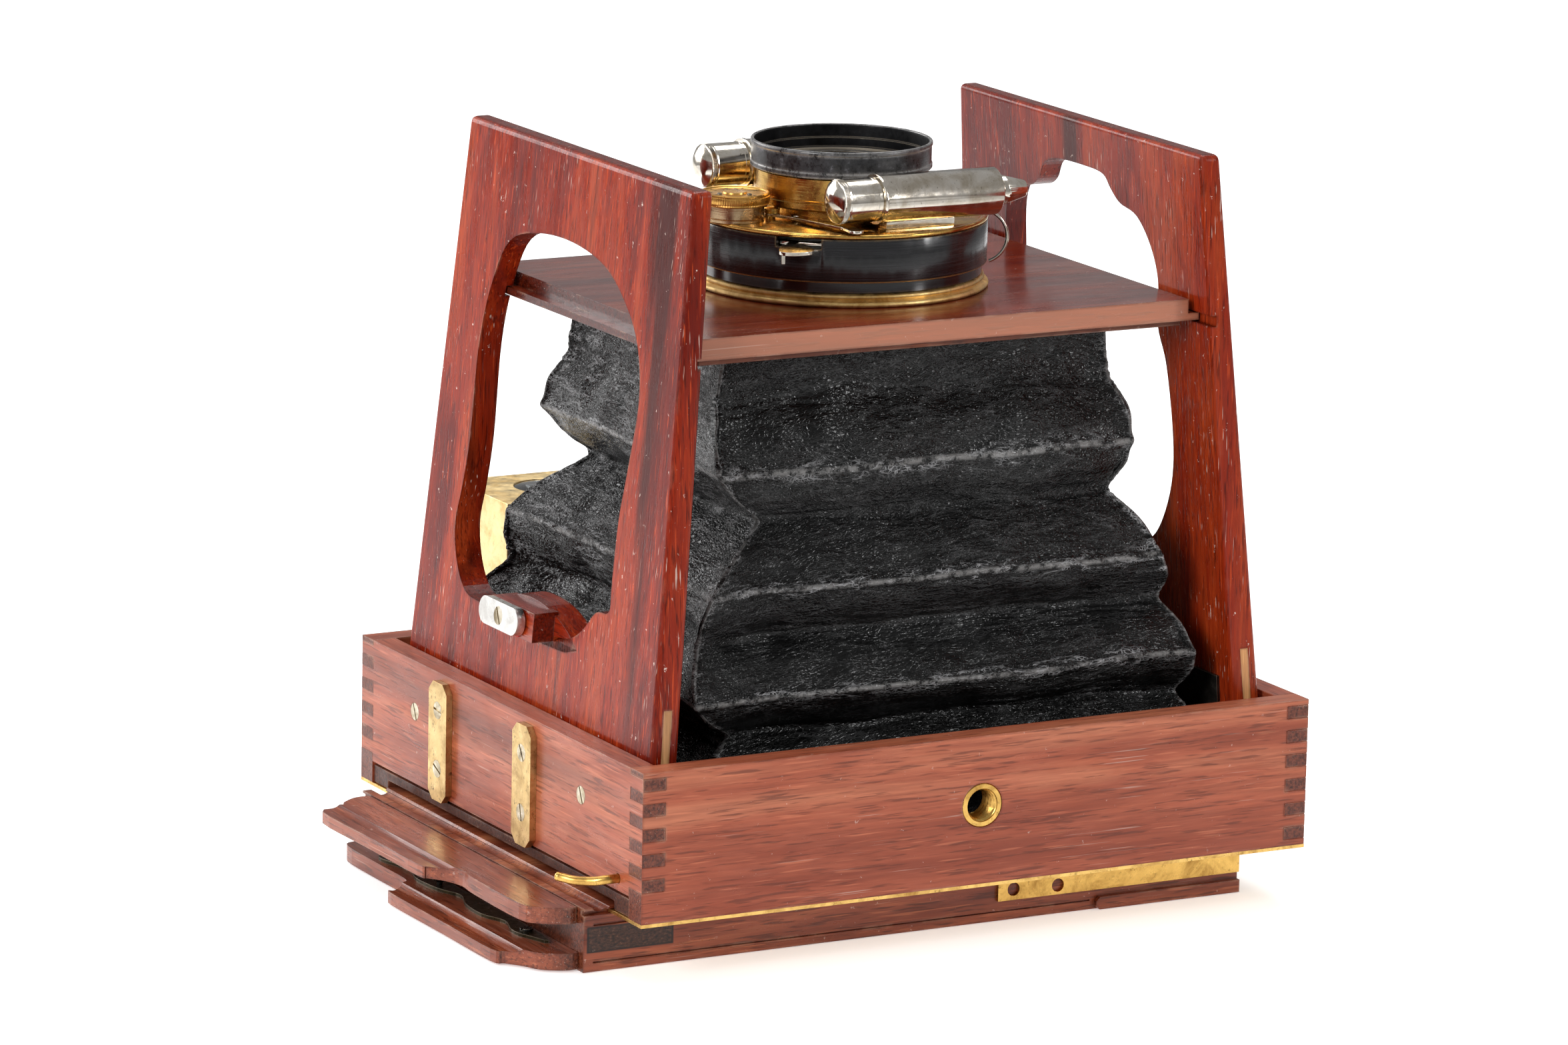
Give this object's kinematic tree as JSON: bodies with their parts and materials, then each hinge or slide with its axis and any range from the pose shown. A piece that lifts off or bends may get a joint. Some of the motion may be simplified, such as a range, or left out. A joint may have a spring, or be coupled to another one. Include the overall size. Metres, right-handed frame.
{
  "type": "view camera",
  "caption": "Folding wooden plate camera on its back: finger-jointed case, leather bellows, hinged wings holding a lens board, air-cylinder shutter, plate holder with draw slides.",
  "frame": {"origin": "centre of the case in plan, on the lower face of the plate holder, which is what the camera rests on as it lies on its back", "axes": "+Z is the way the lens looks, up as it lies; +Y is towards the finder, the camera's top in use; -Y is towards the tripod bush, the camera's foot in use; -X is the end where the plate holder draws out"},
  "size_m": [0.2367, 0.214, 0.2119],
  "materials": {
    "case_wood": "french-polished mahogany, satin to gloss",
    "wing_wood": "french-polished mahogany, glossy, worn edges",
    "board_wood": "french-polished mahogany, glossy",
    "holder_wood": "lighter polished mahogany",
    "inner_wood": "dark stained wood",
    "spline_wood": "pale satin wood",
    "brass": "lacquered brass, tarnished",
    "pale_brass": "pale lacquered brass",
    "steel_screws": "old screw heads",
    "nickel": "nickel plate, slightly yellowed",
    "dark_steel": "blackened steel",
    "black_lacquer": "black lacquered brass, brushed",
    "blade_black": "matt black blades",
    "leather": "glossy black grained leather, worn at the folds",
    "glass": "coated optical glass",
    "ground_glass": "ground glass",
    "mirror": "silvered glass",
    "septum_black": "blackened sheet"
  },
  "bodies": {
    "case": {"front_wall": "case_wood", "rear_wall": "case_wood", "left_wall": "case_wood", "right_wall": "case_wood", "tripod_bush": "brass", "runner_plate": "brass", "strap_plates": "brass", "case_screws": "steel_screws", "back_frame": "inner_wood", "hinge_rails": "inner_wood", "fixed_leaves": "dark_steel", "hinge_pins": "steel_screws", "finder_body": "pale_brass", "finder_lens": "glass", "finder_mirror": "mirror", "finder_screen": "ground_glass", "finder_foot": "brass", "bellows": "leather"},
    "left_wing": {"left_wing": "wing_wood", "left_splines": "spline_wood", "latch_block": "wing_wood", "left_leaves": "dark_steel"},
    "turn_button": {"turn_button": "nickel", "button_screw": "nickel"},
    "right_wing": {"right_wing": "wing_wood", "right_splines": "spline_wood", "right_leaves": "dark_steel"},
    "lens_board": {"lens_board": "board_wood", "board_cleat": "inner_wood", "lens_flange": "brass", "lens_screws": "brass", "neck_ring": "black_lacquer", "shutter_drum": "black_lacquer", "drum_cover": "brass", "lens_barrel": "brass", "lens_hood": "black_lacquer", "front_lens": "glass", "rear_lens": "glass", "air_cylinders": "nickel", "cylinder_caps": "nickel", "cylinder_nozzle": "nickel", "cylinder_bracket": "nickel", "dial_base": "brass", "wire_clip": "nickel"},
    "speed_dial": {"speed_dial": "brass"},
    "trigger": {"trigger": "nickel"},
    "link_lever": {"link_lever": "nickel"},
    "left_blade": {"left_blade": "blade_black"},
    "right_blade": {"right_blade": "blade_black"},
    "release_piston": {"release_piston": "brass"},
    "delay_piston": {"delay_piston": "brass"},
    "plate_holder": {"holder_frame": "holder_wood", "septum": "septum_black", "glass_plates": "glass", "edge_strip": "brass"},
    "upper_slide": {"upper_slide": "holder_wood"},
    "lower_slide": {"lower_slide": "holder_wood", "lock_plate": "dark_steel", "lock_screws": "dark_steel"},
    "slide_hook": {"slide_hook": "brass"}
  },
  "joints": [
    {"name": "left_wing_spread", "type": "hinge", "parent": "case", "child": "left_wing", "pos_m": [-0.087, 0, 0.0432], "axis": [0, -1, 0], "range_deg": [0, 5.1]},
    {"name": "right_wing_spread", "type": "hinge", "parent": "case", "child": "right_wing", "pos_m": [0.087, 0, 0.0432], "axis": [0, 1, 0], "range_deg": [0, 5.1]},
    {"name": "turn_button_turn", "type": "hinge", "parent": "left_wing", "child": "turn_button", "pos_m": [-0.09421, 0.0033, 0.0819], "axis": [-0.9959, 0, 0.0905], "range_deg": [-90, 90]},
    {"name": "lens_board_shift", "type": "slide", "parent": "case", "child": "lens_board", "axis": [0, 1, 0], "range_m": [-0.025, 0.025], "deforming": ["bellows"]},
    {"name": "speed_dial_turn", "type": "hinge", "parent": "lens_board", "child": "speed_dial", "pos_m": [-0.0352, -0.003, 0.2], "axis": [0, 0, 1], "range_deg": [0, 300]},
    {"name": "trigger_press", "type": "hinge", "parent": "lens_board", "child": "trigger", "pos_m": [0, 0, 0.187], "axis": [0, 0, 1], "range_deg": [0, 6], "stiffness_Nm_per_rad": 0.2},
    {"name": "link_lever_swing", "type": "hinge", "parent": "lens_board", "child": "link_lever", "pos_m": [-0.025, -0.006, 0.192], "axis": [0, 0, 1], "range_deg": [0, 9]},
    {"name": "left_blade_swing", "type": "hinge", "parent": "lens_board", "child": "left_blade", "pos_m": [0.032, 0, 0.182], "axis": [0, 0, 1], "range_deg": [0, 36]},
    {"name": "right_blade_swing", "type": "hinge", "parent": "lens_board", "child": "right_blade", "pos_m": [0.032, 0, 0.182], "axis": [0, 0, -1], "range_deg": [0, 36]},
    {"name": "release_piston_stroke", "type": "slide", "parent": "lens_board", "child": "release_piston", "axis": [1, 0, 0], "range_m": [0, 0.008]},
    {"name": "delay_piston_stroke", "type": "slide", "parent": "lens_board", "child": "delay_piston", "axis": [1, 0, 0], "range_m": [0, 0.01]},
    {"name": "plate_holder_slide", "type": "slide", "parent": "case", "child": "plate_holder", "axis": [-1, 0, 0], "range_m": [0, 0.212]},
    {"name": "upper_draw", "type": "slide", "parent": "plate_holder", "child": "upper_slide", "axis": [-1, 0, 0], "range_m": [0, 0.165]},
    {"name": "lower_draw", "type": "slide", "parent": "plate_holder", "child": "lower_slide", "axis": [-1, 0, 0], "range_m": [0, 0.165]},
    {"name": "slide_hook_turn", "type": "hinge", "parent": "case", "child": "slide_hook", "pos_m": [-0.105, -0.074, 0.0267], "axis": [1, 0, 0], "range_deg": [-20, 90]}
  ],
  "couplings": [
    {"joint": "left_blade_swing", "follows": "trigger_press", "ratio": 6},
    {"joint": "right_blade_swing", "follows": "trigger_press", "ratio": 6},
    {"joint": "release_piston_stroke", "follows": "trigger_press", "m_per_rad": 0.07544},
    {"joint": "link_lever_swing", "follows": "delay_piston_stroke", "rad_per_m": 15.394}
  ]
}
